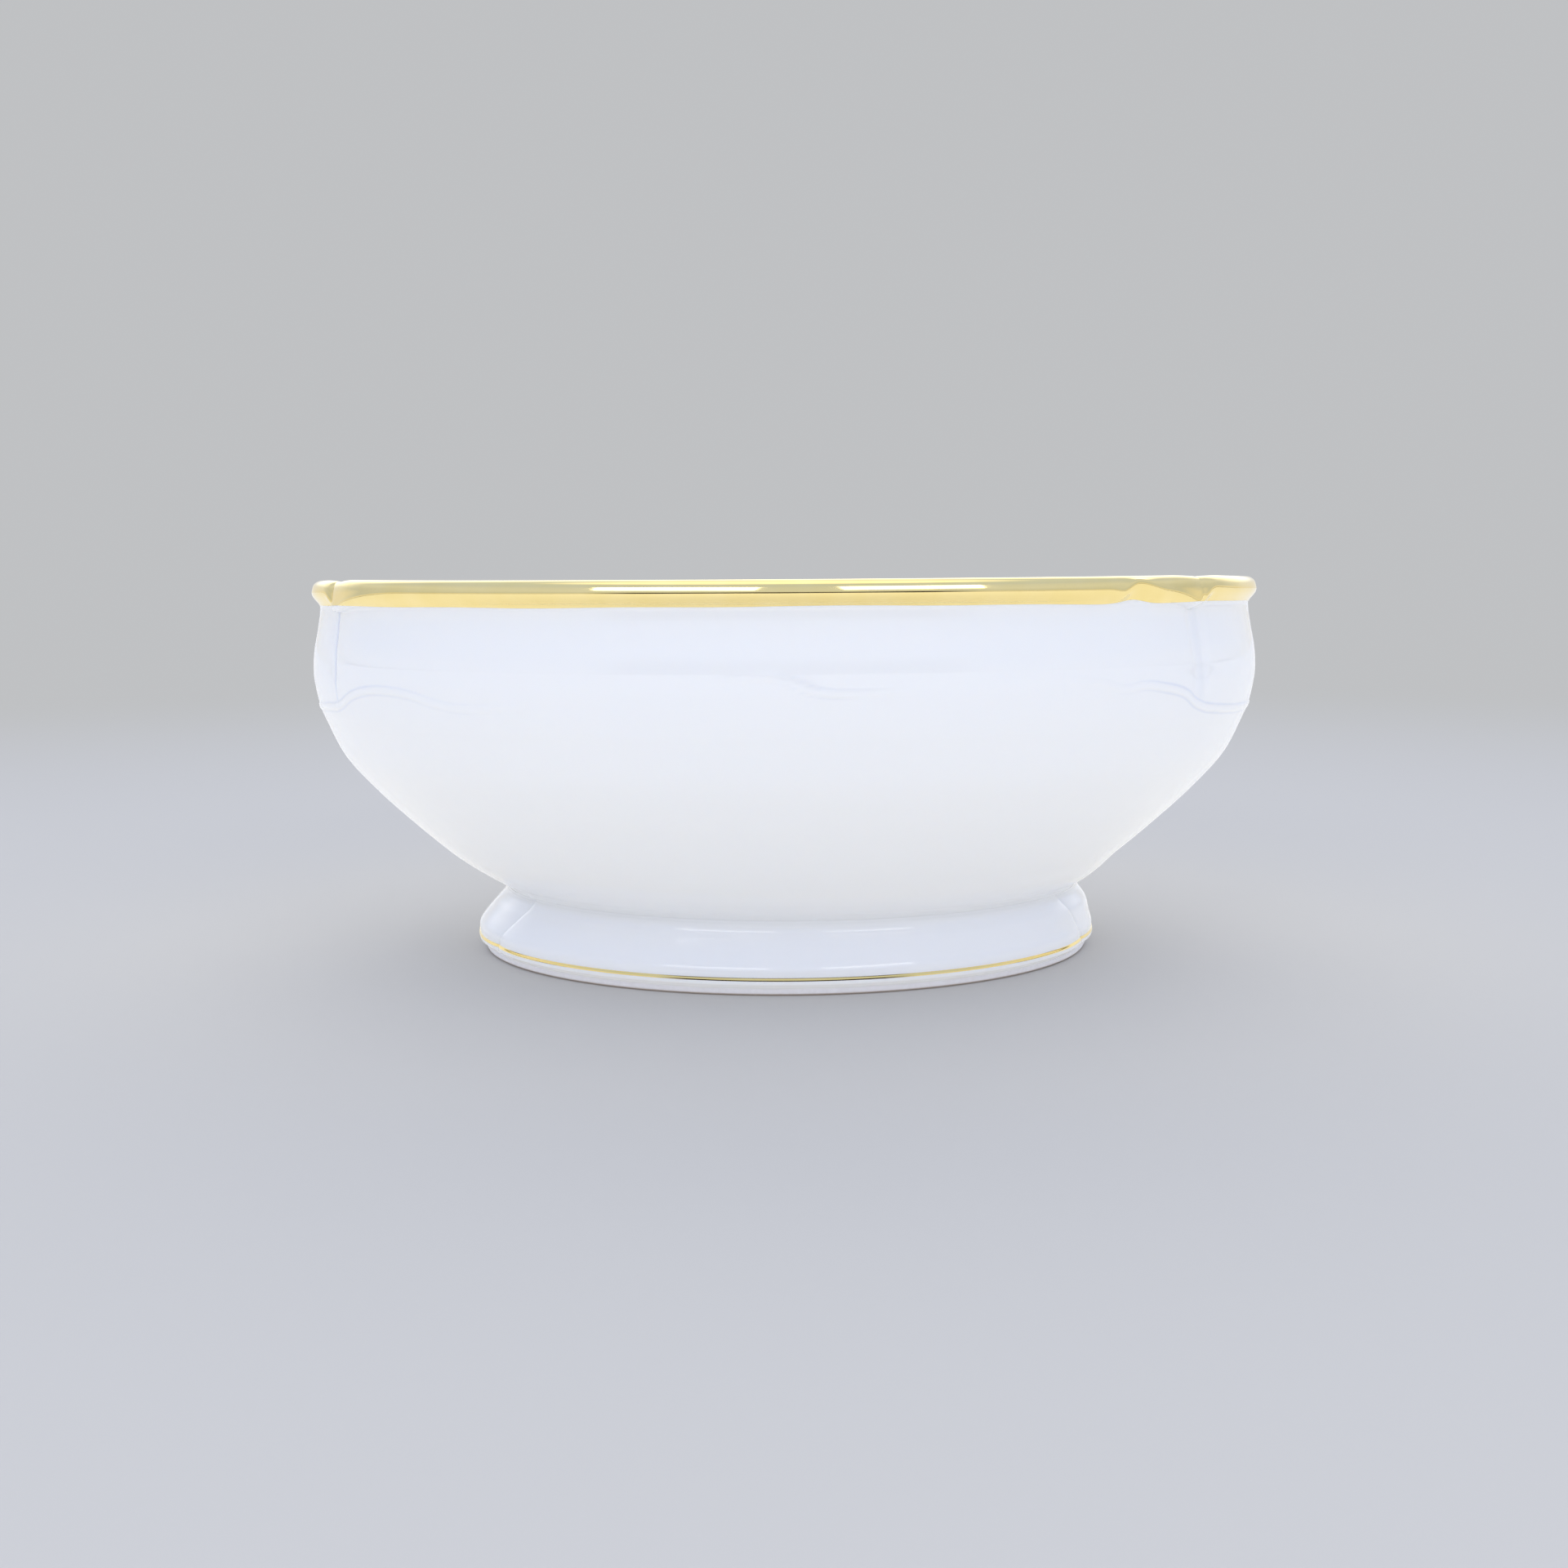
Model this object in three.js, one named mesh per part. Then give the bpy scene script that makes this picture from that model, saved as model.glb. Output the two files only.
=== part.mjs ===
// Footed oval serving bowl in white glazed porcelain, gilded on the lip and round the foot.
// Millimetres, +Z up. The origin is on the table, under the middle of the bowl.
// The long axis of the oval is X, and the bowl is the same after half a turn about Z.
import * as THREE from 'three';

// ---- Driving dimensions ----
const rimLength = 240; // over the lip, along X
const plan = 1.25; // length over width of the oval, at every height
const height = 93.3; // to the highest points of the lip
const wall = 3.8; // thickness of the bowl's wall
const floorThickness = 4.4; // of the bowl's floor, inside the foot
const neckInset = 2; // how far the neck lies inside the lip
const neckDrop = 8.5; // from the top of the lip down to the neck
const bellyInset = 0.5; // how far the widest part of the wall lies inside the lip
const bellyDrop = 21.4; // from the top of the lip down to the widest part of the wall
const waistLength = 147; // where the foot meets the bowl, along X
const footHeight = 16; // from the table to the underside of the bowl
const footLength = 157.8; // over the edge of the foot, along X
const footEdge = 3.6; // height of the foot's edge, where its gilt line begins
const seatInset = 2.2; // how far the ground seat lies inside the foot's edge
const seatWidth = 4; // of the flat ring that stands on the table
const footWall = 7.4; // thickness of the foot's wall at the waist
const slip = 0.8; // thickness of the clay slip that joins foot and bowl
const gilt = 0.35; // thickness that stands in for the burnished gold
const giltOutside = 6; // how far the gold comes down outside the lip
const giltInside = 3.3; // how far the gold goes down inside the lip
const lipTip = 2.7; // how far the outermost line of the lip lies below its top
const lipTaper = 1.1; // how much thinner the lip is than the wall and neck under it
const footLine = 0.9; // width of the gilt line round the foot's edge

// ---- Modelling of the panels ----
const rimCreases = [-62.3, 50.5]; // degrees from the front, where the wall's panels meet
const footCreasesTop = [-56, 61.5]; // the same for the foot, at the waist
const footCreasesEdge = [-62.3, 67.5]; // and at the foot's edge
const creaseReach = 12; // degrees on each side over which a panel curls in to its crease
const curledSteps = [-1, -0.5, -0.2, 0, 0.2, 0.5]; // columns beside a crease, as shares of that
const wallTuck = 1.3; // how far the wall is drawn in at a crease
const footTuck = 0.8; // how far the foot is drawn in at a crease
const creaseTip = 8; // how far below the widest part a crease of the wall runs out
const lipNotch = 0.6; // how far the lip dips at a crease
const longPanelDip = 0.7; // how far the lip sags along the front and back panels
const endPanelDip = 0.25; // how far it sags along the end panels
const longPanelSteps = 10;
const endPanelSteps = 5;

// ---- Shapes, each point as two shares of the sizes above ----
// The wall, out and up from the waist to its widest part.
const wallCurve = [
  [0, 0], [0.13, 0.075], [0.36, 0.228], [0.585, 0.385],
  [0.765, 0.537], [0.895, 0.685], [0.964, 0.832], [1, 1],
];
const wallSteps = 10;
// The hollow under the lip, in towards the neck and down to the gold's lower edge.
const lipFlare = [[0.82, 1], [0.5, 0.56], [0.25, 0.25], [0, 0]];
// The rounded top of the lip, in from its tip and down to the gold's inner edge.
const lipCrown = [[0.06, 0.24], [0.3, 0], [0.6, 0.09], [0.85, 0.52], [1, 1]];
// The foot above its edge, in and up to the waist.
const footFlare = [[0.06, 0.28], [0.3, 0.47], [0.56, 0.66], [0.85, 0.85], [1, 1]];
// The foot below its edge, in towards the seat and up from the table.
const footUndercut = [[1, 0], [0.84, 0.13], [0.34, 0.6], [0.14, 0.95]];

const rimReach = rimLength / 2;
const waistReach = waistLength / 2;
const footReach = footLength / 2;
const bellyHeight = height - bellyDrop;
const neckHeight = height - neckDrop;
const bellyReach = rimReach - bellyInset;

/** A point of an outline: reach is on the long axis, inset is taken off all round. */
const at = (reach, z, inset = 0) => ({ reach, z, inset });

const smooth = (value, low, high) => THREE.MathUtils.smoothstep(value, low, high);

/** 1 on a crease, falling to 0 at the given number of degrees from it. */
const curl = (degrees, reach) => Math.max(0, 1 - Math.abs(degrees) / reach) ** 2;

/** The four creases of one height: two on the front, and the same two after half a turn. */
const allCreases = (pair) => [...pair, ...pair.map((crease) => crease + 180)];

/** Columns round the oval for one height, closer together beside each crease. */
function columns(pair) {
  const creases = allCreases(pair);
  return creases.flatMap((crease, index) => {
    const next = index + 1 < creases.length ? creases[index + 1] : creases[0] + 360;
    const steps = index % 2 === 0 ? longPanelSteps : endPanelSteps;
    const first = crease + creaseReach;
    const pitch = (next - creaseReach - first) / steps;
    const panel = Array.from({ length: steps }, (_, step) => first + step * pitch);
    const curled = curledSteps.map((share) => crease + share * creaseReach);
    return [...curled, ...panel];
  });
}

/** How far an angle is from the nearest crease, in degrees. */
function fromCrease(angle, pair) {
  const gaps = allCreases(pair).map((crease) => {
    const turn = THREE.MathUtils.euclideanModulo(angle - crease + 180, 360) - 180;
    return Math.abs(turn);
  });
  return Math.min(...gaps);
}

/** How far the lip lies below its highest points: a sag along each panel, a notch at each crease. */
function lipDip(angle) {
  const [left, right] = rimCreases;
  const turned = THREE.MathUtils.euclideanModulo(angle - left, 180);
  const long = right - left;
  const inLong = turned < long;
  const share = inLong ? turned / long : (turned - long) / (180 - long);
  const sag = (inLong ? longPanelDip : endPanelDip) * (1 - (2 * share - 1) ** 2);
  return sag + lipNotch * curl(fromCrease(angle, rimCreases), creaseReach / 2);
}

/** Where a point of the bowl's outline goes at one angle. */
function bowlPoint(angle, { reach, z, inset }) {
  const fade = smooth(z, bellyHeight - creaseTip, bellyHeight);
  const tuck = wallTuck * fade * curl(fromCrease(angle, rimCreases), creaseReach);
  const dip = lipDip(angle) * smooth(z, neckHeight - wall, height - lipNotch);
  const turn = THREE.MathUtils.degToRad(angle);
  return new THREE.Vector3(
    (reach - inset - tuck) * Math.sin(turn),
    -(reach / plan - inset - tuck) * Math.cos(turn),
    z - dip,
  );
}

/** Where the foot's creases are at one height: they spread from the waist to the edge. */
function footCreases(z) {
  const share = smooth(z, footEdge, footHeight);
  return footCreasesEdge.map((edge, side) => THREE.MathUtils.lerp(edge, footCreasesTop[side], share));
}

/** Where a point of the foot's outline goes at one angle. */
function footPoint(angle, { reach, z, inset }) {
  const tuck = footTuck * curl(fromCrease(angle, footCreases(z)), creaseReach) * smooth(z, 0, footEdge);
  const turn = THREE.MathUtils.degToRad(angle);
  return new THREE.Vector3(
    (reach - inset - tuck) * Math.sin(turn),
    -(reach / plan - inset - tuck) * Math.cos(turn),
    z,
  );
}

/** A closed solid: the outline carried round the oval. An open outline starts and ends on the axis. */
function moulded(name, outline, closed, ringOf, colour, roughness, metalness) {
  const rings = outline.map(ringOf);
  const count = rings[0].length;
  const position = rings.flat().flatMap((point) => point.toArray());
  const index = [];
  const last = closed ? rings.length : rings.length - 1;
  for (let row = 0; row < last; row += 1) {
    const above = (row + 1) % rings.length;
    for (let column = 0; column < count; column += 1) {
      const beside = (column + 1) % count;
      const [a, b] = [row * count + column, row * count + beside];
      const [c, d] = [above * count + beside, above * count + column];
      if (outline[row].reach > 0) index.push(a, b, c);
      if (outline[above].reach > 0) index.push(a, c, d);
    }
  }
  if (volumeOf(position, index) < 0) index.reverse();
  const geometry = new THREE.BufferGeometry();
  geometry.setAttribute('position', new THREE.Float32BufferAttribute(position, 3));
  geometry.setIndex(index);
  geometry.computeVertexNormals();
  const mesh = new THREE.Mesh(
    geometry,
    new THREE.MeshStandardMaterial({ color: colour, roughness, metalness }),
  );
  mesh.name = name;
  return mesh;
}

/** Signed volume of a mesh: negative when its faces point inwards. */
function volumeOf(position, index) {
  const corner = (i) => new THREE.Vector3().fromArray(position, 3 * index[i]);
  let volume = 0;
  for (let i = 0; i < index.length; i += 3) {
    volume += corner(i).dot(corner(i + 1).cross(corner(i + 2))) / 6;
  }
  return volume;
}

const bowlRing = (stop) => columns(rimCreases).map((angle) => bowlPoint(angle, stop));
const footRing = (stop) => columns(footCreases(stop.z)).map((angle) => footPoint(angle, stop));

/** The outline drawn in by a distance, square to itself, towards the inside of the clay. */
function drawnIn(points, distance) {
  return points.map((point, i) => {
    const before = points[Math.max(i - 1, 0)];
    const after = points[Math.min(i + 1, points.length - 1)];
    const out = after.reach - after.inset - before.reach + before.inset;
    const up = after.z - before.z;
    const size = Math.hypot(out, up);
    return at(point.reach, point.z + (distance * out) / size, point.inset + (distance * up) / size);
  });
}

/** The wall outside, from the waist up to the widest part. */
function wallOutside() {
  const curve = new THREE.SplineCurve(wallCurve.map(([out, up]) => new THREE.Vector2(
    THREE.MathUtils.lerp(waistReach, bellyReach, out),
    THREE.MathUtils.lerp(footHeight, bellyHeight, up),
  )));
  return curve.getPoints(wallSteps).map((point) => at(point.x, point.y));
}

/** The gilded surface of the lip, from its lower edge outside to its lower edge inside. */
function lipSurface() {
  const low = giltOutside - lipTip;
  const across = neckInset + wall - lipTaper;
  const flare = lipFlare.map(([inward, down]) => (
    at(rimReach, height - lipTip - down * low, inward * neckInset)
  ));
  const crown = lipCrown.map(([inward, down]) => (
    at(rimReach, height - down * giltInside, inward * across)
  ));
  return [...flare, ...crown];
}

/** The seat of the gold: a step in, the lip drawn in by the gold's thickness, and a step out. */
function lipSeat() {
  const surface = lipSurface();
  return [surface[0], ...drawnIn(surface, gilt), surface[surface.length - 1]];
}

function bowlBody() {
  const outside = wallOutside();
  const neck = at(rimReach, neckHeight, neckInset);
  const shoulder = at(rimReach, (neckHeight + bellyHeight) / 2, (neckInset + bellyInset) / 2);
  const flank = [...outside, shoulder, neck];
  const lining = drawnIn(flank, wall).reverse();
  const lowest = footHeight + floorThickness;
  const inside = lining.filter((point) => point.z > lowest + wall / 2);
  const outline = [
    at(0, footHeight),
    at(waistReach, footHeight, footWall),
    ...flank,
    ...lipSeat(),
    ...inside,
    at(waistReach, lowest + wall / 8, footWall),
    at(waistReach / 2, lowest),
    at(0, lowest),
  ];
  return moulded('bowl_body', outline, false, bowlRing, 0xeef1f8, 0.12, 0);
}

function rimGold() {
  const surface = lipSurface();
  const outline = [...lipSeat(), ...surface.slice(1, -1).reverse()];
  return moulded('rim_gold_band', outline, true, bowlRing, 0xe2bf62, 0.14, 1);
}

/** The seat of the foot's gilt line: a shallow band round the edge, as thick as the gold. */
function lineSeat() {
  return [
    at(footReach, footEdge),
    at(footReach, footEdge, gilt),
    at(footReach, footEdge + footLine, gilt),
    at(footReach, footEdge + footLine),
  ];
}

function pedestalFoot() {
  const top = footHeight - slip;
  const undercut = footUndercut.map(([inward, up]) => (
    at(footReach, up * footEdge, inward * seatInset)
  ));
  const flare = footFlare.map(([inward, up]) => at(
    THREE.MathUtils.lerp(footReach, waistReach, inward),
    THREE.MathUtils.lerp(footEdge + footLine, top, up),
  ));
  const outline = [
    at(footReach, 0, seatInset + seatWidth),
    ...undercut,
    ...lineSeat(),
    ...flare,
    at(waistReach, top, footWall),
    at(waistReach, footHeight / 2, footWall),
  ];
  return moulded('pedestal_foot', outline, true, footRing, 0xdfe5f1, 0.14, 0);
}

function slipJoint() {
  const low = footHeight - slip;
  const outline = [
    at(waistReach, low, footWall),
    at(waistReach, low),
    at(waistReach, footHeight),
    at(waistReach, footHeight, footWall),
  ];
  return moulded('slip_joint', outline, true, footRing, 0xe9edf6, 0.3, 0);
}

function footGold() {
  const seat = lineSeat();
  return moulded('foot_gold_line', seat, true, footRing, 0xc9a34a, 0.2, 1);
}

const bowl = new THREE.Group();
bowl.add(bowlBody(), rimGold(), pedestalFoot(), slipJoint(), footGold());

export default bowl;
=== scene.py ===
"""Footed oval serving bowl in white glazed porcelain, with burnished gold on the lip and the foot.

Each visible piece is a fine mesh that stands for one CAD node. An outline is carried round the oval,
panel by panel, and the creases, the lip's waves and the relief border are moulded into its points.
Sizes come from the CAD nodes' boxes. Angles are in degrees round the oval, from the front (-Y).
"""
import math

import bmesh
import bpy
import numpy as np
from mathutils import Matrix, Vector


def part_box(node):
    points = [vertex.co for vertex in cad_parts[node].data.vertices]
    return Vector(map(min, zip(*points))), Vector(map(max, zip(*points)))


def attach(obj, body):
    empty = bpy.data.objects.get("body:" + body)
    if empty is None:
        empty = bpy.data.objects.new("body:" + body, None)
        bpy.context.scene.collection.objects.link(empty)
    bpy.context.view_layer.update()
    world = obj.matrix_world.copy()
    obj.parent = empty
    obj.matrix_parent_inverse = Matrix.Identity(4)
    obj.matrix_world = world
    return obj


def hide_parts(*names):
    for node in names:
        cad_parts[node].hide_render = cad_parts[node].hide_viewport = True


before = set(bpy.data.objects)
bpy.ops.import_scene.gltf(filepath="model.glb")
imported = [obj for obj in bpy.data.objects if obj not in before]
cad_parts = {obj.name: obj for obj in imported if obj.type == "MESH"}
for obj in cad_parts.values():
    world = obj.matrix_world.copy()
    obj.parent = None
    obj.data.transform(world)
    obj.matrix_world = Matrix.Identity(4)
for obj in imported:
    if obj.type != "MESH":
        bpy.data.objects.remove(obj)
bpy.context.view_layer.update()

MM = 0.001

# ---- Thicknesses and small sizes ----
WALL = 3.8 * MM
FLOOR = 4.4 * MM
FOOT_WALL = 7.4 * MM
FILM = 0.08 * MM  # how far the gold stands proud of the glaze
FILM_ROOT = 0.15 * MM  # how far its closed skin goes into the glaze

# ---- Sizes from the frame ----
rim_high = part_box("rim_gold_band")[1]
line_low, line_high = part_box("foot_gold_line")

RIM_REACH = rim_high[0] - 1.5 * FILM  # leaves room for the gold inside the CAD's box
PLAN = rim_high[0] / rim_high[1]  # length over width of the oval
TOP = rim_high[2]
BODY_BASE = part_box("bowl_body")[0][2]
WAIST_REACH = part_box("slip_joint")[1][0]
FOOT_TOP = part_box("pedestal_foot")[1][2]
LINE_LOW = line_low[2]
LINE_HIGH = line_high[2]

# ---- Creases between the panels: two on the front, and the same two after half a turn ----
SHARP_CREASE = -62.3
SOFT_CREASE = 51.7
SOFT_RIB = 1.1  # half the width of the rib inside the soft crease
CREASE_REACH = 12
WALL_TUCK = 1.3 * MM
FOOT_TUCK = 0.9 * MM
FOOT_CREASES_TOP = (-59, 62.8)
FOOT_CREASES_EDGE = (-64, 69.5)
PLEAT = 39.4  # a small fold in the lip, left of the soft crease
WAIST_HOLLOW = 1.2 * MM
WAIST_SWAY = 1.6 * MM

# ---- The raised border on the wall: its height, and half the width of its back and of its base ----
BORDER_RISE = 0.26 * MM
BORDER_BACK = 0.45 * MM
BORDER_EDGE = 1.05 * MM

# ---- Fineness of the meshes ----
LONG_COLUMNS = 220
END_COLUMNS = 140
CROWDING = 0.7  # how much closer the columns stand at the creases
GILDING_ROWS = 30
LINE_ROWS = 7
MERGE_WITHIN = 0.02 * MM
SHARP_EDGE = 50


def smooth(value, low, high):
    """0 below low, 1 above high, and a smooth rise between them."""
    share = np.clip((value - low) / (high - low), 0, 1)
    return share * share * (3 - 2 * share)


def curl(degrees, reach):
    """1 on a line, falling to 0 at reach on each side of it, with a crease at the line."""
    return np.maximum(0, 1 - np.abs(degrees) / reach) ** 2


def bell(distance, width):
    """1 at 0, falling smoothly to nothing a few widths away."""
    return np.exp(-((distance / width) ** 2))


def turn_from(angle, line):
    """Degrees from a line or from the same line after half a turn, whichever is nearer, with sign."""
    return (np.asarray(angle) - line + 90) % 180 - 90


def curve_through(points, pieces=10):
    """A smooth line through the given points, with tangents that follow their spacing."""
    points = np.array(points, float)
    gaps = np.linalg.norm(np.diff(points, axis=0), axis=1)
    run = np.concatenate([[0], np.cumsum(gaps)])
    slope = np.gradient(points, run, axis=0)
    t = np.linspace(0, 1, pieces, endpoint=False)[:, None]
    parts = []
    for i, gap in enumerate(gaps):
        start = (1 + 2 * t) * (1 - t) ** 2 * points[i] + t * (1 - t) ** 2 * gap * slope[i]
        end = t * t * (3 - 2 * t) * points[i + 1] + t * t * (t - 1) * gap * slope[i + 1]
        parts.append(start + end)
    parts.append(points[-1:])
    return np.concatenate(parts)


def respaced(line, spacing):
    """The same line with points about one spacing apart."""
    gaps = np.linalg.norm(np.diff(line, axis=0), axis=1)
    run = np.concatenate([[0], np.cumsum(gaps)])
    count = max(2, int(round(run[-1] / spacing)) + 1)
    stops = np.linspace(0, run[-1], count)
    return np.stack([np.interp(stops, run, line[:, k]) for k in range(line.shape[1])], axis=1)


def columns(sharp, soft):
    """Angles round the oval, closer together towards each crease."""
    creases = [sharp, soft, sharp + 180, soft + 180, sharp + 360]
    counts = [LONG_COLUMNS, END_COLUMNS] * 2
    angles = []
    for start, end, count in zip(creases, creases[1:], counts):
        share = np.arange(count) / count
        share = share - CROWDING * np.sin(2 * math.pi * share) / (2 * math.pi)
        angles.append(start + (end - start) * share)
    return np.concatenate(angles)


# ---- The modelling of the wall, as distances in from the plain oval ----
def sharp_line(z):
    """Where the sharp crease is at a height: it bends towards the long panel as it runs down."""
    return SHARP_CREASE - 1.1 + 2.6 * smooth(z, 90 * MM, 60 * MM)


def crease_depth(angle, z):
    """How deep the wall's creases are, from 0 to 1: one sharp, one soft with a rib in it."""
    sharp = turn_from(angle, sharp_line(z))
    soft = turn_from(angle, SOFT_CREASE)
    sharp_part = 0.75 * curl(sharp, CREASE_REACH) + 0.25 * curl(sharp, 1.2)
    groove = 0.2 * bell(np.abs(soft) - SOFT_RIB, 0.8 * SOFT_RIB)
    notch = 0.3 * curl(soft, 2)
    in_lip = smooth(z, TOP - 7 * MM, TOP - 5 * MM)
    below_crown = 1 - smooth(z, TOP - 4.5 * MM, TOP - 2 * MM)
    hollow = 0.7 * curl(soft, CREASE_REACH) * (0.35 + 0.65 * below_crown)
    soft_part = hollow + groove * (1 - in_lip) + notch * in_lip * below_crown
    return np.maximum(sharp_part, soft_part)


def lip_dip(angle):
    """How far the lip lies below the top: a sag along each panel and a notch at each crease."""
    turned = (angle - SHARP_CREASE) % 180
    long = SOFT_CREASE - SHARP_CREASE
    long_sag = 0.7 * MM * (1 - (2 * turned / long - 1) ** 2)
    end_sag = 0.25 * MM * (1 - (2 * (turned - long) / (180 - long) - 1) ** 2)
    sag = np.where(turned < long, long_sag, end_sag)
    sharp_notch = 0.6 * MM * curl(turn_from(angle, SHARP_CREASE), CREASE_REACH / 2)
    soft_notch = 0.35 * MM * curl(turn_from(angle, SOFT_CREASE), CREASE_REACH / 2)
    return sag + sharp_notch + soft_notch


def lip_fold(angle):
    """How far the lip's outer edge hangs down beside each crease, less its rise over the pleat."""
    sharp = turn_from(angle, SHARP_CREASE)
    soft = turn_from(angle, SOFT_CREASE)
    by_sharp = np.where(sharp > 0, curl(sharp, 18), curl(sharp, 4))
    by_soft = np.where(soft < 0, curl(soft, 11), curl(soft, 3.5))
    hang = np.minimum(4 * MM * np.maximum(by_sharp, by_soft), 3.1 * MM)
    pleat = turn_from(angle, PLEAT)
    rise = 1.3 * MM * smooth(pleat, -2.2, 0.2) * (1 - smooth(pleat, 0, 5))
    rib = 1.3 * MM * bell(soft - 0.3, 0.45)
    return hang - rise - rib + 0.4 * MM * bell(pleat + 2.2, 1)


def lip_share(z):
    """How much of the fold a height takes: all at the lip's edge, none at its top or at the neck."""
    below = TOP - z
    return smooth(below, 0.2 * MM, 2.3 * MM) * (1 - smooth(below, 2.8 * MM, 9 * MM))


# The relief border between the upper panels and the plain lower wall: angle, height and strength.
BORDER = np.array([
    (-62.3, 63.6, 1.0),
    (-60.4, 64.2, 1.0),
    (-56.0, 66.8, 0.9),
    (-51.5, 68.3, 0.85),
    (-46.8, 68.5, 0.75),
    (-43.0, 67.8, 0.7),
    (-39.4, 66.3, 0.6),
    (-36.0, 65.5, 0.5),
    (-31.5, 65.6, 0.35),
    (-24.0, 66.4, 0.0),
    (-8.0, 71.8, 0.0),
    (0.0, 72.3, 0.45),
    (3.2, 69.7, 0.65),
    (7.7, 69.4, 0.35),
    (14.0, 70.2, 0.0),
    (29.0, 71.3, 0.0),
    (34.3, 70.3, 0.3),
    (37.7, 68.8, 0.4),
    (40.5, 69.4, 0.6),
    (44.0, 68.7, 0.9),
    (48.5, 66.9, 1.0),
    (50.7, 64.8, 1.0),
    (53.0, 63.6, 1.0),
    (57.0, 62.8, 1.0),
    (63.5, 62.1, 1.0),
    (72.7, 61.8, 1.0),
    (90.0, 61.8, 1.0),
    (105.0, 62.4, 1.0),
    (117.7, 63.6, 1.0),
])


def border_line():
    """The border as a smooth closed line: angle, height in metres and strength."""
    line = curve_through(BORDER, 12)
    return line[:, 0], line[:, 1] * MM, np.clip(line[:, 2], 0, 1)


def border_height(angle):
    """Height of the border's middle line."""
    line_angle, line_z, _ = border_line()
    turned = (angle - SHARP_CREASE) % 180 + SHARP_CREASE
    return np.interp(turned, line_angle, line_z)


def from_border(angle, z):
    """Distance from the border's middle line across the wall, and the border's strength there."""
    line_angle, line_z, strength = border_line()
    turned = (angle - SHARP_CREASE) % 180 + SHARP_CREASE
    middle = np.interp(turned, line_angle, line_z)
    power = np.interp(turned, line_angle, strength)
    arc = np.radians(line_angle) * RIM_REACH / PLAN ** 0.5
    lean = np.interp(turned, line_angle, np.gradient(line_z, arc))
    return np.abs(z - middle) / np.sqrt(1 + lean ** 2), power


def border_relief(angle, z):
    """Height of the raised border: a band with a rounded back and two soft edges."""
    away, power = from_border(angle, z)
    return BORDER_RISE * power * (1 - smooth(away, BORDER_BACK, BORDER_EDGE))


def pooled_glaze(angle, z):
    """Where the glaze has run thicker: beside the border and along the creases, from 0 to 1."""
    away, power = from_border(angle, z)
    beside_border = 0.8 * power ** 1.5 * bell(away - BORDER_EDGE, 0.3 * MM)
    above_border = smooth(z - border_height(angle), 0.5 * MM, 2 * MM)
    on_wall = above_border * (1 - smooth(z, TOP - 7 * MM, TOP - 5 * MM))
    sharp = bell(turn_from(angle, sharp_line(z)), 0.35)
    soft = 0.35 * bell(turn_from(angle, SOFT_CREASE), 1.2)
    return np.maximum(beside_border, on_wall * np.maximum(sharp, soft))


def waist_hollow(angle, z):
    """How much further in the foot's long panels run at the waist and down the flare."""
    sharp, soft = foot_crease_angles(z)
    turned = (angle - sharp) % 180 / (soft - sharp)
    long_panel = np.where(turned < 1, np.sin(math.pi * np.minimum(turned, 1)) ** 0.6, 0)
    grows = np.clip((z - LINE_HIGH) / (7 * MM), 0, 1) ** 0.9
    eases = 1 - 0.4 * smooth(z, 13.2 * MM, 15.4 * MM)
    fades = 1 - smooth(z, 15.5 * MM, 22 * MM)
    return WAIST_HOLLOW * grows * eases * fades * long_panel


def waist_sway(z):
    """How far the foot's narrow neck was luted off centre."""
    return WAIST_SWAY * smooth(z, 6 * MM, 13 * MM) * (1 - smooth(z, 17 * MM, 26 * MM))


def bowl_points(angle, reach, z, inset, outside=1.0):
    """Points of the bowl's surface. All arguments are arrays of one shape."""
    belly = 71.9 * MM
    fade = smooth(z, belly - 9 * MM, belly + 3 * MM)
    tuck = WALL_TUCK * fade * crease_depth(angle, z)
    relief = border_relief(angle, z) * outside
    drawn = inset + tuck - relief + waist_hollow(angle, z) * outside
    dip = lip_dip(angle) * smooth(z, TOP - 9 * MM, TOP - 0.5 * MM)
    fold = lip_fold(angle) * lip_share(z) * outside
    turn = np.radians(angle)
    return np.stack([
        (reach - drawn) * np.sin(turn) + waist_sway(z),
        -(reach / PLAN - drawn) * np.cos(turn),
        z - dip - fold,
    ], axis=-1)


def foot_crease_angles(z):
    """Where the foot's two creases are at a height: they spread from the waist to the edge."""
    share = np.clip((z - LINE_LOW) / (FOOT_TOP - LINE_LOW), 0, 1)
    pairs = zip(FOOT_CREASES_EDGE, FOOT_CREASES_TOP)
    return [edge + (top - edge) * share for edge, top in pairs]


def foot_points(angle, reach, z, inset):
    """Points of the foot's surface."""
    deep = np.zeros_like(z)
    for crease in foot_crease_angles(z):
        away = turn_from(angle, crease)
        deep = np.maximum(deep, 0.8 * curl(away, CREASE_REACH) + 0.2 * curl(away, 1.5))
    drawn = inset + FOOT_TUCK * deep * smooth(z, 0, LINE_LOW)
    drawn = drawn + waist_hollow(angle, z) * (inset < 3 * MM)
    turn = np.radians(angle)
    return np.stack([
        (reach - drawn) * np.sin(turn) + waist_sway(z),
        -(reach / PLAN - drawn) * np.cos(turn),
        z,
    ], axis=-1)


# ---- Outlines: rows of reach, height and inset ----
def stops(points, spacing):
    """A smooth outline through reach, height and inset given in millimetres."""
    return respaced(curve_through(points) * MM, spacing * MM)


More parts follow.
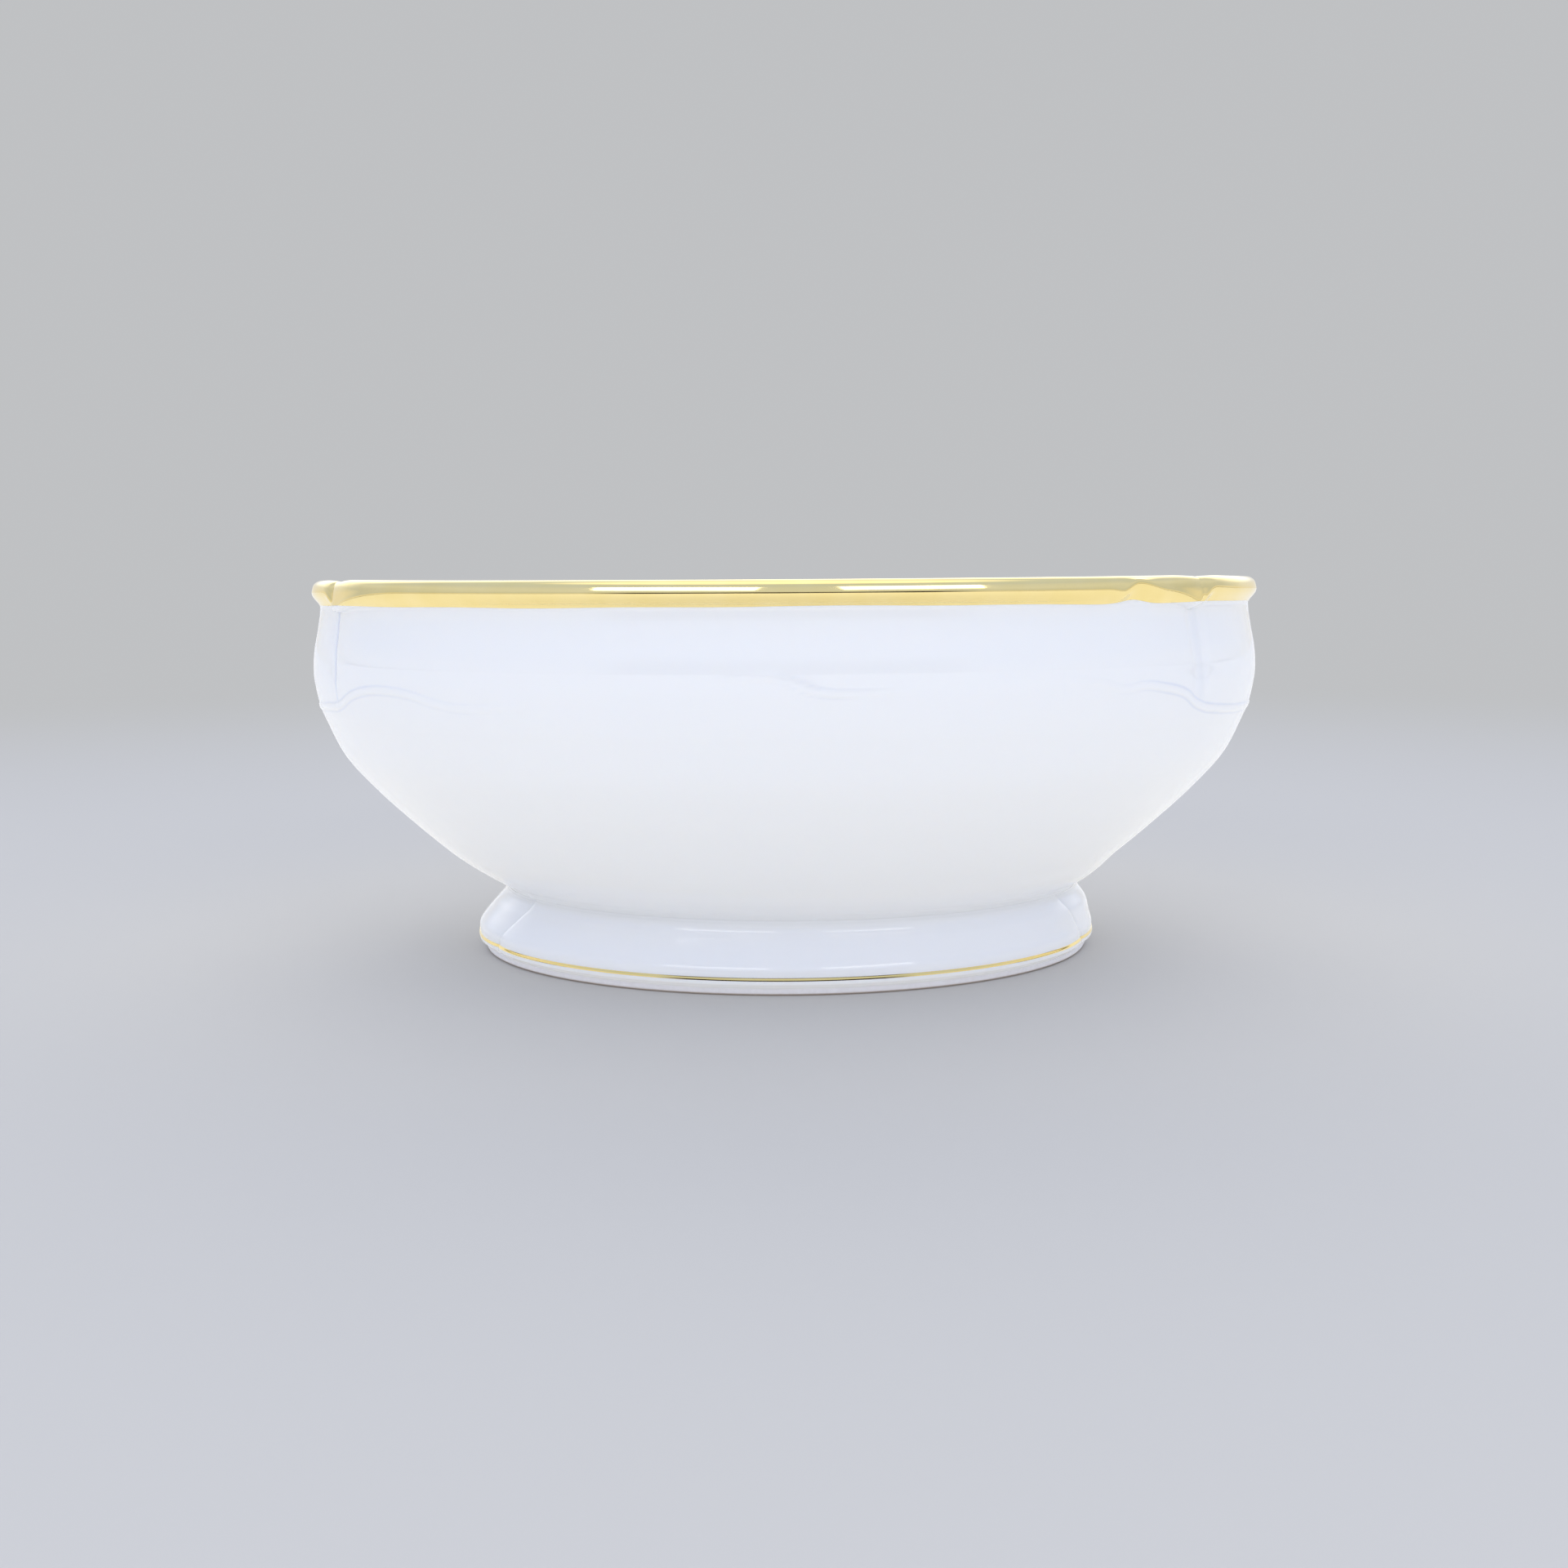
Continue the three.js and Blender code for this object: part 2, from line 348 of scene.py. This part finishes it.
def wall_outline():
    """The outside of the bowl from the foot's joint to the neck."""
    waist = WAIST_REACH / MM
    base = BODY_BASE / MM
    lower = [
        (waist, base, 0), (waist + 0.35, base + 0.6, 0), (75.9, 17.9, 0), (79.4, 20.1, 0), (85, 24.4, 0),
        (95.4, 33.2, 0), (104.6, 41.8, 0), (112, 50.2, 0), (117.2, 60.5, 0),
    ]
    middle = [
        (117.2, 60.5, 0), (117.9, 62.5, 0), (118.9, 66.6, 0), (119.4, 69.5, 0), (119.5, 73.5, 0),
    ]
    upper = [
        (119.5, 73.5, 0), (119.6, 76.7, 0.4), (119.75, 80.8, 1.25), (119.85, 83.2, 1.7),
        (RIM_REACH / MM, 84.5, 1.87),
    ]
    return np.concatenate([stops(lower, 1.6)[:-1], stops(middle, 0.26)[:-1], stops(upper, 0.9)])


# The lip's section in millimetres: height from the top and inset from the rim's reach. It starts at the
# neck, bulges out, rolls over the top and ends inside.
LIP = [
    (-8.7, 1.87), (-7.5, 1.93), (-6.4, 1.94), (-5.7, 1.72), (-5.0, 1.15), (-4.3, 0.6), (-3.6, 0.15),
    (-2.9, 0), (-2.6, 0.02), (-2.2, 0.09), (-1.7, 0.2), (-1.2, 0.34), (-0.7, 0.64), (-0.3, 1.15),
    (0, 1.9), (-0.35, 2.9), (-1.3, 3.9), (-3.3, 4.8), (-6, 5.4), (-8.7, 5.7),
]


def lip_outlines():
    """Over the lip: from the neck outside up to the top, and from the top down to the neck inside."""
    points = [(RIM_REACH / MM, TOP / MM + z, inset) for z, inset in LIP]
    outline = stops(points, 0.36)
    crown = int(np.argmax(outline[:, 1]))
    return outline[:crown + 1], outline[crown:]


def lining_outline():
    """The inside of the bowl from the neck down to the middle of its floor."""
    outside = curve_through([
        (79.3, 20.1), (85, 24.4), (95.4, 33.2), (104.6, 41.8), (112, 50.2), (116.5, 58.4),
        (118.9, 66.6), (119.5, 71.8), (119.2, 76.7), (118.1, 84.5),
    ])
    step = np.gradient(outside, axis=0)
    step /= np.linalg.norm(step, axis=1)[:, None]
    wall = WALL / MM
    lining = np.stack([
        outside[:, 0], outside[:, 1] + wall * step[:, 0], wall * step[:, 1],
    ], axis=1)[::-1]
    lowest = (BODY_BASE + FLOOR) / MM
    kept = lining[lining[:, 1] > lowest + 3]
    join = kept[-1]
    floor = curve_through([
        (join[0], join[1], join[2]), (76, lowest + 1, 3), (68, lowest + 0.35, 2.4),
        (50, lowest + 0.1, 0), (25, lowest, 0),
    ])
    path = np.concatenate([kept[:-1], floor]) * MM
    centre = np.array([[1e-5, lowest * MM, 0]])
    return np.concatenate([respaced(path, 2.2 * MM), centre])


def under_outline():
    """The underside of the bowl inside the foot, from its middle out to the joint."""
    base = BODY_BASE
    reach = WAIST_REACH
    return np.array([
        (1e-5, base + 0.6 * MM, 0), (0.35 * reach, base + 0.5 * MM, 0),
        (0.7 * reach, base + 0.2 * MM, 0), (reach, base, FOOT_WALL), (reach, base, 3 * MM),
    ])


def foot_outline():
    """The foot's section, from its inner top down, over the seat and up the outside."""
    inner = [(73.5, FOOT_TOP / MM, 7.4), (73.5, 8, 7.2), (76.5, 2.4, 7.3), (78.9, 0.5, 6.9)]
    seat = [(78.9, 0, 6.2), (78.9, 0, 2.7)]
    band = [
        (78.9, 0.25, 2.1), (78.9, 0.9, 1.75), (78.9, 1.7, 1.6), (78.9, 1.95, 1.2),
        (78.9, 2.5, 0.55), (78.9, 2.9, 0.1), (78.9, 3.3, 0), (78.9, 4.5, 0.18),
    ]
    flare = [
        (78.9, 4.5, 0.18), (78.9, 5.3, 0.14), (78.85, 5.9, 0.06), (78.6, 6.6, 0), (78.1, 7.6, 0),
        (77.05, 9.6, 0), (75.9, 11.6, 0), (74.3, 13.6, 0), (73.6, 14.7, 0),
        (WAIST_REACH / MM, FOOT_TOP / MM, 0),
    ]
    return np.concatenate([
        stops(inner, 1.5), stops(seat, 1), stops(band, 0.22)[:-1], stops(flare, 0.4),
    ])


# ---- Meshes ----
def closed_mesh(name, grid, wraps, attribute=None):
    """A closed mesh from a grid of points, rows by columns. Rows wrap, or end on the axis."""
    rows, count = grid.shape[:2]
    index = np.arange(rows * count).reshape(rows, count)
    if wraps:
        index = np.concatenate([index, index[:1]])
    a = index[:-1]
    b = np.roll(index[:-1], -1, axis=1)
    c = np.roll(index[1:], -1, axis=1)
    d = index[1:]
    faces = np.stack([a, b, c, d], axis=-1).reshape(-1, 4)
    mesh = bpy.data.meshes.new(name)
    mesh.from_pydata(grid.reshape(-1, 3).tolist(), [], faces.tolist())
    if attribute is not None:
        layer = mesh.attributes.new("pool", "FLOAT", "POINT")
        layer.data.foreach_set("value", attribute.reshape(-1).astype(np.float32))
    mesh.validate()
    mesh.update()
    piece = bpy.data.objects.new(name, mesh)
    bpy.context.scene.collection.objects.link(piece)
    tidy_mesh(mesh)
    return piece


def tidy_mesh(mesh):
    """Merges the points that meet on the axis, turns the faces outwards and smooths them."""
    work = bmesh.new()
    work.from_mesh(mesh)
    bmesh.ops.remove_doubles(work, verts=work.verts, dist=MERGE_WITHIN)
    bmesh.ops.recalc_face_normals(work, faces=work.faces)
    if work.calc_volume(signed=True) < 0:
        bmesh.ops.reverse_faces(work, faces=work.faces)
    work.to_mesh(mesh)
    work.free()
    mesh.shade_smooth()
    mesh.set_sharp_from_angle(angle=math.radians(SHARP_EDGE))


def grid_of(outline, angles, points):
    """Carries an outline round the oval."""
    angle = np.broadcast_to(angles, (len(outline), len(angles)))
    reach, z, inset = (np.broadcast_to(outline[:, [k]], angle.shape) for k in range(3))
    return points(angle, reach, z, inset)


def grid_sides(outline, angles):
    """The angle and the outline's height at each point of a grid."""
    angle = np.broadcast_to(angles, (len(outline), len(angles)))
    return angle, np.broadcast_to(outline[:, [1]], angle.shape)


def plain_points(angle, reach, z, inset):
    """Points of the bowl's inside and underside, which have no relief and no fold."""
    return bowl_points(angle, reach, z, inset, outside=0.0)


def bowl_shell():
    """The porcelain shell, outside, lip and lining in one closed mesh."""
    angles = columns(SHARP_CREASE, SOFT_CREASE)
    lip_outside, lip_inside = lip_outlines()
    outer = np.concatenate([wall_outline(), lip_outside[1:]])
    inner = np.concatenate([lip_inside[1:-1], lining_outline()])
    outer_grid = grid_of(outer, angles, bowl_points)
    inner_grid = grid_of(inner, angles, plain_points)
    under_grid = grid_of(under_outline(), angles, plain_points)
    grid = np.concatenate([under_grid, outer_grid, inner_grid])
    angle, z = grid_sides(outer, angles)
    pool = np.zeros(grid.shape[:2])
    pool[len(under_grid):len(under_grid) + len(outer)] = pooled_glaze(angle, z)
    return closed_mesh("bowl_shell", grid, wraps=False, attribute=pool)


def foot_angles(z):
    """Columns for the foot at one height, which follow its slanting creases."""
    sharp, soft = foot_crease_angles(z)
    return columns(sharp, soft)


def foot_grid(outline):
    """Carries an outline round the foot."""
    rows = []
    for reach, z, inset in outline:
        angle = foot_angles(z)
        same = np.ones_like(angle)
        rows.append(foot_points(angle, reach * same, z * same, inset * same))
    return np.stack(rows)


def foot_ring():
    """The flared foot with its ground seat."""
    return closed_mesh("foot_ring", foot_grid(foot_outline()), wraps=True)


def luting_seam():
    """The wiped slip that fills the joint between foot and bowl."""
    low, high = FOOT_TOP, BODY_BASE
    reach = WAIST_REACH
    outline = np.array([
        (reach, low, FOOT_WALL), (reach, low, 2 * MM), (reach, low, 0),
        (reach, (low + high) / 2, -0.02 * MM), (reach, high, 0), (reach, high, 2 * MM),
        (reach, high, FOOT_WALL),
    ])
    return closed_mesh("luting_seam", foot_grid(outline), wraps=True)


def skin(name, grid):
    """A thin closed skin over a grid of surface points."""
    along = np.gradient(grid, axis=0)
    round_ = np.roll(grid, -1, axis=1) - np.roll(grid, 1, axis=1)
    normal = np.cross(along, round_)
    normal /= np.linalg.norm(normal, axis=-1)[..., None]
    middle = grid.mean(axis=(0, 1))
    if (normal[:3] * (grid[:3] - middle)).sum() < 0:
        normal = -normal
    outer = grid + FILM * normal
    inner = grid - FILM_ROOT * normal
    return closed_mesh(name, np.concatenate([outer, inner[::-1]]), wraps=True)


def gold_edge(angle):
    """Height of the gold's lower edge outside, which a hand has painted."""
    wave = 0.14 * np.sin(np.radians(5 * angle + 40)) + 0.08 * np.sin(np.radians(17 * angle))
    rise = 1.0 * bell(turn_from(angle, PLEAT), 2.6) + 0.5 * bell(turn_from(angle, 56), 9)
    return TOP + MM * (-6.1 + wave + rise)


def lip_gilding():
    """The burnished gold over the lip."""
    angles = columns(SHARP_CREASE, SOFT_CREASE)
    outside, inside = lip_outlines()
    inside = inside[inside[:, 1] > TOP - 3.3 * MM]
    full = grid_of(outside, angles, bowl_points)
    share = np.linspace(0, 1, GILDING_ROWS)
    top_row = len(outside) - 1
    lowest = [np.interp(edge, full[:, i, 2], np.arange(top_row + 1))
              for i, edge in enumerate(gold_edge(angles))]
    run = np.array(lowest)[None, :] * (1 - share[:, None]) + top_row * share[:, None]
    angle = np.broadcast_to(angles, run.shape)
    reach, z, inset = (np.interp(run, np.arange(top_row + 1), outside[:, k]) for k in range(3))
    outer = bowl_points(angle, reach, z, inset)
    inner = grid_of(inside[1:], angles, plain_points)
    return skin("lip_gilding", np.concatenate([outer, inner]))


def foot_gilding():
    """The thin gold line round the edge of the foot."""
    outline = foot_outline()
    outline = outline[outline[:, 2] < 1 * MM]
    heights = np.linspace(LINE_LOW + 0.1 * MM, LINE_HIGH - 0.1 * MM, LINE_ROWS)
    columns_of = [np.interp(heights, outline[:, 1], outline[:, k]) for k in range(3)]
    return skin("foot_gilding", foot_grid(np.stack(columns_of, axis=1)))


# ---- Materials ----
def new_material(name):
    """A node material, its tree and its shader."""
    material = bpy.data.materials.new(name)
    material.use_nodes = True
    tree = material.node_tree
    return material, tree, tree.nodes["Principled BSDF"]


def ranged(tree, value, low, high, start=0.0, end=1.0):
    """A smooth rise of a value from start to end between two limits."""
    node = tree.nodes.new("ShaderNodeMapRange")
    node.interpolation_type = "SMOOTHSTEP"
    node.inputs["From Min"].default_value = low
    node.inputs["From Max"].default_value = high
    node.inputs["To Min"].default_value = start
    node.inputs["To Max"].default_value = end
    tree.links.new(value, node.inputs["Value"])
    return node.outputs["Result"]


def product(tree, one, other):
    """One value times another."""
    node = tree.nodes.new("ShaderNodeMath")
    node.operation = "MULTIPLY"
    tree.links.new(one, node.inputs[0])
    tree.links.new(other, node.inputs[1])
    return node.outputs["Value"]


def blended(tree, share, first, second):
    """Mixes two colours, each a socket or a plain value."""
    node = tree.nodes.new("ShaderNodeMix")
    node.data_type = "RGBA"
    if isinstance(share, float):
        node.inputs["Factor"].default_value = share
    else:
        tree.links.new(share, node.inputs["Factor"])
    put_colour(tree, node.inputs[6], first)
    put_colour(tree, node.inputs[7], second)
    return node.outputs[2]


def put_colour(tree, socket, colour):
    """Sets a socket's colour, or links another socket to it."""
    if isinstance(colour, tuple):
        socket.default_value = colour
    else:
        tree.links.new(colour, socket)


def noise(tree, place, scale, detail):
    """A cloudy value between 0 and 1."""
    node = tree.nodes.new("ShaderNodeTexNoise")
    node.inputs["Scale"].default_value = scale
    node.inputs["Detail"].default_value = detail
    tree.links.new(place, node.inputs["Vector"])
    return node.outputs["Fac"]


# The seat is bare clay below a ragged line. The lowest part of its outer side carries a painted brown
# shadow, where the foot stands on the floor.
GLAZE_FROM, GLAZE_FULL = 1.8 * MM, 2.1 * MM
RAGGED_BY = 0.6 * MM
SEAT_FACE, SHADOW_BAND_LOW, SHADOW_BAND_HIGH = 0.02 * MM, 0.1 * MM, 0.7 * MM

GLAZE_TINTS = (0.885, 0.9, 0.925, 1), (0.905, 0.91, 0.92, 1)
POOLED_TINT = (0.74, 0.78, 0.88, 1)
CLAY_TINTS = (0.78, 0.77, 0.8, 1), (0.9, 0.9, 0.95, 1)
# Painted shadow: the brown of the foot's lowest edge where it meets the floor
FOOT_SHADOW_TINT = (0.3, 0.23, 0.18, 1)
GOLD_TINTS = (0.94, 0.765, 0.335, 1), (0.96, 0.79, 0.37, 1)


def porcelain():
    """Glossy white glaze, bluer where it has pooled, over bare fired clay on the seat."""
    material, tree, shader = new_material("porcelain_glaze")
    nodes, links = tree.nodes, tree.links
    place = nodes.new("ShaderNodeTexCoord").outputs["Object"]
    height = nodes.new("ShaderNodeSeparateXYZ")
    links.new(place, height.inputs["Vector"])
    height = height.outputs["Z"]

    cloud = noise(tree, place, 18, 3)
    white = blended(tree, cloud, *GLAZE_TINTS)
    pool = nodes.new("ShaderNodeAttribute")
    pool.attribute_name = "pool"
    white = blended(tree, ranged(tree, pool.outputs["Fac"], 0, 1, 0, 0.8), white, POOLED_TINT)

    grain = noise(tree, place, 900, 4)
    clay = blended(tree, grain, *CLAY_TINTS)
    # Painted shadow: the lowest part of the foot's outer side darkens to brown
    outer_side = ranged(tree, height, SEAT_FACE, SHADOW_BAND_LOW, 0.2, 1)
    painted_shadow = product(tree, outer_side, ranged(tree, height, SHADOW_BAND_LOW, SHADOW_BAND_HIGH, 1, 0))
    clay = blended(tree, painted_shadow, clay, FOOT_SHADOW_TINT)
    ragged = nodes.new("ShaderNodeMath")
    ragged.operation = "MULTIPLY_ADD"
    links.new(noise(tree, place, 160, 2), ragged.inputs[0])
    ragged.inputs[1].default_value = RAGGED_BY
    links.new(height, ragged.inputs[2])
    glazed = ranged(tree, ragged.outputs["Value"], GLAZE_FROM, GLAZE_FULL)

    links.new(blended(tree, glazed, clay, white), shader.inputs["Base Color"])
    links.new(ranged(tree, glazed, 0, 1, 0.6, 0.07), shader.inputs["Roughness"])
    bump = nodes.new("ShaderNodeBump")
    bump.inputs["Strength"].default_value = 0.03
    bump.inputs["Distance"].default_value = 0.4 * MM
    links.new(noise(tree, place, 260, 2), bump.inputs["Height"])
    links.new(bump.outputs["Normal"], shader.inputs["Normal"])
    shader.inputs["IOR"].default_value = 1.5
    shader.inputs["Subsurface Weight"].default_value = 0.15
    shader.inputs["Subsurface Radius"].default_value = (4 * MM, 3.5 * MM, 3 * MM)
    shader.inputs["Subsurface Scale"].default_value = 1.0
    return material


def gold():
    """Burnished gold, uneven in tint and polish."""
    material, tree, shader = new_material("burnished_gold")
    nodes, links = tree.nodes, tree.links
    place = nodes.new("ShaderNodeTexCoord").outputs["Object"]
    wear = noise(tree, place, 140, 5)
    tint = nodes.new("ShaderNodeValToRGB")
    tint.color_ramp.elements[0].position = 0.35
    tint.color_ramp.elements[0].color = GOLD_TINTS[0]
    tint.color_ramp.elements[1].position = 0.65
    tint.color_ramp.elements[1].color = GOLD_TINTS[1]
    links.new(wear, tint.inputs["Fac"])
    links.new(tint.outputs["Color"], shader.inputs["Base Color"])
    rough = nodes.new("ShaderNodeMapRange")
    rough.inputs["To Min"].default_value = 0.045
    rough.inputs["To Max"].default_value = 0.075
    links.new(wear, rough.inputs["Value"])
    links.new(rough.outputs["Result"], shader.inputs["Roughness"])
    shader.inputs["Metallic"].default_value = 1
    return material


def finished(piece, node, material):
    """Gives a piece its material, hangs it on the root body and hides the CAD node it stands for."""
    piece.data.materials.append(material)
    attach(piece, "root")
    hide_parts(node)


# ---- Stage ----
BACKDROP = (0.6, 0.61, 0.625, 1)
FLOOR_SEEN = (0.6, 0.585, 0.56, 1)
FLOOR_BRIGHT = (0.8, 0.775, 0.72, 1)  # what the bowl reflects
FLOOR_GLOW = (1, 0.95, 0.84, 1)
FADE_FROM, FADE_TO = 0.25, 1.1  # distances over which the floor turns into the backdrop
SOFTBOX_TINT = (1, 0.985, 0.96)


def seen_by_camera(tree, seen, unseen, socket):
    """Shows one shader to the camera and lights the object with another."""
    path = tree.nodes.new("ShaderNodeLightPath")
    mix = tree.nodes.new("ShaderNodeMixShader")
    tree.links.new(path.outputs["Is Camera Ray"], mix.inputs["Fac"])
    tree.links.new(unseen, mix.inputs[1])
    tree.links.new(seen, mix.inputs[2])
    tree.links.new(mix.outputs["Shader"], socket)


def floor():
    """A pale floor that fades into the backdrop, and looks brighter to the bowl than to the camera."""
    bpy.ops.mesh.primitive_circle_add(vertices=96, radius=30, fill_type="NGON")
    disc = bpy.context.object
    disc.name = "floor"
    material = bpy.data.materials.new("pale_floor")
    material.use_nodes = True
    tree = material.node_tree
    tree.nodes.clear()
    near = tree.nodes.new("ShaderNodeBsdfDiffuse")
    near.inputs["Color"].default_value = FLOOR_SEEN
    far = tree.nodes.new("ShaderNodeEmission")
    far.inputs["Color"].default_value = BACKDROP
    place = tree.nodes.new("ShaderNodeNewGeometry")
    distance = tree.nodes.new("ShaderNodeVectorMath")
    distance.operation = "LENGTH"
    tree.links.new(place.outputs["Position"], distance.inputs[0])
    seen = tree.nodes.new("ShaderNodeMixShader")
    tree.links.new(ranged(tree, distance.outputs["Value"], FADE_FROM, FADE_TO), seen.inputs["Fac"])
    tree.links.new(near.outputs["BSDF"], seen.inputs[1])
    tree.links.new(far.outputs["Emission"], seen.inputs[2])
    bright = tree.nodes.new("ShaderNodeBsdfDiffuse")
    bright.inputs["Color"].default_value = FLOOR_BRIGHT
    glow = tree.nodes.new("ShaderNodeEmission")
    glow.inputs["Color"].default_value = FLOOR_GLOW
    glow.inputs["Strength"].default_value = 0.2
    lit = tree.nodes.new("ShaderNodeAddShader")
    tree.links.new(bright.outputs["BSDF"], lit.inputs[0])
    tree.links.new(glow.outputs["Emission"], lit.inputs[1])
    output = tree.nodes.new("ShaderNodeOutputMaterial")
    seen_by_camera(tree, seen.outputs["Shader"], lit.outputs["Shader"], output.inputs["Surface"])
    disc.data.materials.append(material)


def softbox(name, azimuth, elevation, distance, width, height, glare):
    """An area light that looks at the bowl. Azimuth is from the front, positive to the right."""
    turn, up = math.radians(azimuth), math.radians(elevation)
    data = bpy.data.lights.new(name, "AREA")
    data.shape = "RECTANGLE"
    data.size = width
    data.size_y = height
    data.energy = glare * math.pi * width * height
    data.color = SOFTBOX_TINT
    light = bpy.data.objects.new(name, data)
    light.location = (
        distance * math.sin(turn) * math.cos(up),
        -distance * math.cos(turn) * math.cos(up),
        TOP / 2 + distance * math.sin(up),
    )
    light.rotation_euler = (math.pi / 2 - up, 0, turn)
    bpy.context.scene.collection.objects.link(light)


# The room as the bowl sees it, by the height of the direction (0 level, 1 straight up).
ROOM = [
    (0.0, (1.0, 0.97, 0.9)),
    (0.07, (0.95, 0.94, 0.92)),
    (0.15, (0.68, 0.74, 0.88)),
    (0.35, (0.82, 0.89, 1.08)),
    (0.66, (0.7, 0.8, 1.1)),
    (0.86, (0.74, 0.85, 1.1)),
    (0.94, (1.6, 1.6, 1.58)),
]
BRIGHT_WALL = (2.1, 2.12, 2.15, 1)  # behind the bowl
SHADOWS = (0.03, 0.02, 0.015, 1)  # the dark end of the room, behind the camera, low down


def with_walls(tree, split, ramp):
    """Brightens the wall behind the bowl and darkens the room near the horizon on the camera's side."""
    height, depth = split.outputs["Z"], split.outputs["Y"]
    low = ranged(tree, height, 0.14, 0.2, 1, 0)
    ahead = ranged(tree, depth, -0.88, -0.75, 1, 0)
    skirting = ranged(tree, height, 0.008, 0.022, 1, 0)
    this_side = ranged(tree, depth, 0.3, 0.7, 1, 0)
    behind = ranged(tree, depth, 0.4, 0.85)
    above = ranged(tree, height, 0.05, 0.3)
    wall = blended(tree, product(tree, behind, above), ramp.outputs["Color"], BRIGHT_WALL)
    wall = blended(tree, product(tree, low, ahead), wall, SHADOWS)
    return blended(tree, product(tree, skirting, this_side), wall, SHADOWS)


def room():
    """The studio round the bowl, with a plain backdrop for the camera."""
    world = bpy.data.worlds.new("studio")
    bpy.context.scene.world = world
    world.use_nodes = True
    tree = world.node_tree
    nodes, links = tree.nodes, tree.links
    place = nodes.new("ShaderNodeTexCoord")
    split = nodes.new("ShaderNodeSeparateXYZ")
    links.new(place.outputs["Generated"], split.inputs["Vector"])
    ramp = nodes.new("ShaderNodeValToRGB")
    stops_of = ramp.color_ramp.elements
    while len(stops_of) < len(ROOM):
        stops_of.new(0.5)
    for stop, (height, colour) in zip(stops_of, ROOM):
        stop.position = height
        stop.color = (*colour, 1)
    links.new(split.outputs["Z"], ramp.inputs["Fac"])
    lit = nodes["Background"]
    links.new(with_walls(tree, split, ramp), lit.inputs["Color"])
    seen = nodes.new("ShaderNodeBackground")
    seen.inputs["Color"].default_value = BACKDROP
    socket = nodes["World Output"].inputs["Surface"]
    seen_by_camera(tree, seen.outputs["Background"], lit.outputs["Background"], socket)


def camera():
    """A level camera at the height of the lip, with the bowl low in its frame."""
    away = 0.4166
    height = 0.091
    roll = 0.3
    lens = 36.675
    horizon_above_middle = 0.1255
    data = bpy.data.cameras.new("camera")
    data.sensor_width = 36
    data.lens = lens
    data.shift_y = -horizon_above_middle
    data.clip_start = 0.01
    eye = bpy.data.objects.new("camera", data)
    eye.location = (0, -away, height)
    eye.rotation_euler = (math.pi / 2, math.radians(roll), 0)
    bpy.context.scene.collection.objects.link(eye)
    bpy.context.scene.camera = eye


glaze = porcelain()
gilt = gold()
finished(bowl_shell(), "bowl_body", glaze)
finished(foot_ring(), "pedestal_foot", glaze)
finished(luting_seam(), "slip_joint", glaze)
finished(lip_gilding(), "rim_gold_band", gilt)
finished(foot_gilding(), "foot_gold_line", gilt)

floor()
room()
softbox("left_light", azimuth=-22, elevation=28, distance=1.2, width=0.64, height=0.18, glare=3.6)
softbox("right_light", azimuth=26, elevation=28, distance=1.2, width=0.56, height=0.18, glare=3.6)
camera()
bpy.context.scene.view_settings.view_transform = "Standard"
bpy.context.scene.view_settings.exposure = -0.19
